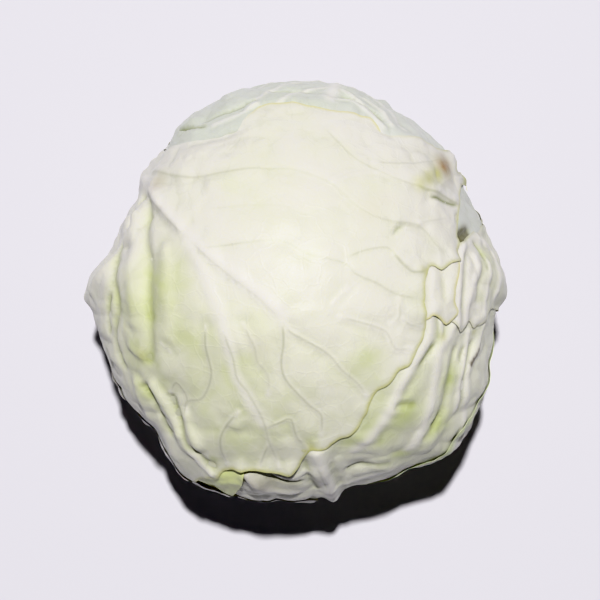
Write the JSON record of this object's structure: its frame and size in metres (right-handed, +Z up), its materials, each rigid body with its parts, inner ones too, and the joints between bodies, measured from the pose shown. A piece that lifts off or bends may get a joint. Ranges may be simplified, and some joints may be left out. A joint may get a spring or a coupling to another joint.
{
  "type": "green cabbage",
  "caption": "Round head of green cabbage with broad overlapping ribbed leaves, standing on the flat cut face of its stalk.",
  "frame": {"origin": "centre of the stalk's cut face", "axes": "+Z up through the head, +X and +Y round the head as seen from above, with the tall lower leaf's stem bulge towards -Y"},
  "size_m": [0.1635, 0.1693, 0.1512],
  "materials": {
    "outer_leaf": "waxy, semi-matt pale green-white leaf",
    "green_leaf": "waxy yellow-green leaf margin",
    "inner_leaf": "pale packed leaf",
    "stalk": "dry cut stem, pale cream, slightly browned"
  },
  "bodies": {
    "root": {"stalk": "stalk", "heart": "inner_leaf", "leaf_crown": "outer_leaf", "leaf_fore": "outer_leaf", "leaf_side": "outer_leaf", "leaf_tuck": "green_leaf", "leaf_second": "green_leaf", "leaf_front": "outer_leaf", "leaf_low_back": "green_leaf", "leaf_low_right": "green_leaf", "leaf_low_left": "green_leaf"}
  },
  "joints": []
}
